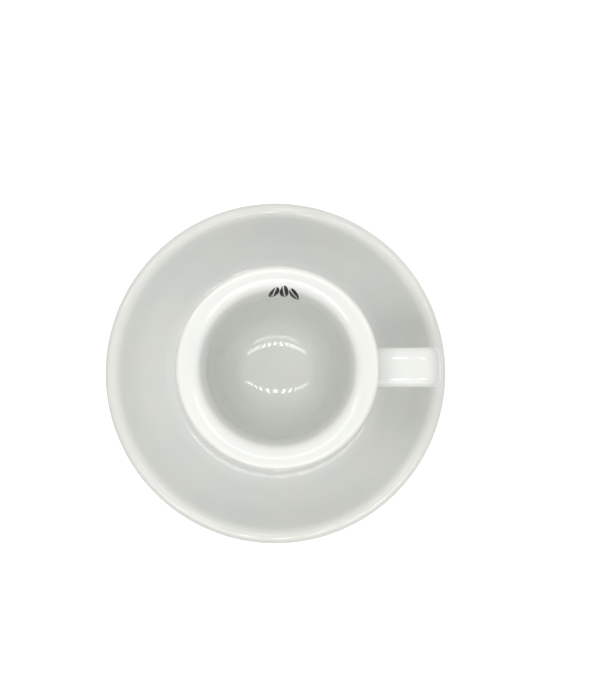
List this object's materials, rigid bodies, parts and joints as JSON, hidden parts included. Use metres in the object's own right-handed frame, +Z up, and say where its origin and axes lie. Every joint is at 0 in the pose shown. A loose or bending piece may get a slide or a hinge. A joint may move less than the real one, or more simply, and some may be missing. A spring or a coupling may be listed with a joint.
{
  "type": "espresso cup with saucer",
  "caption": "Thick-walled white porcelain espresso cup with a squared strap handle, standing in the well of a round dished saucer and free to lift off it.",
  "frame": {"origin": "on the table, under the middle of the saucer's foot ring", "axes": "+Z up along the common axis of saucer and cup; +X towards the handle; +Y towards the printed mark inside the cup"},
  "size_m": [0.12, 0.12, 0.0619],
  "materials": {
    "saucer_porcelain": "glossy white glaze with a faint green-grey cast, bare at the foot ring",
    "cup_porcelain": "glossy white glaze with a faint green-grey cast, bare at the foot ring",
    "fired_black": "black fired print under the glaze"
  },
  "bodies": {
    "saucer": {"saucer": "saucer_porcelain"},
    "cup": {"cup_body": "cup_porcelain", "cup_handle": "cup_porcelain", "handle_slip": "cup_porcelain", "cup_mark": "fired_black"}
  },
  "joints": [
    {"name": "cup_lift", "type": "slide", "parent": "saucer", "child": "cup", "axis": [0, 0, 1], "range_m": [0, 0.09]}
  ]
}
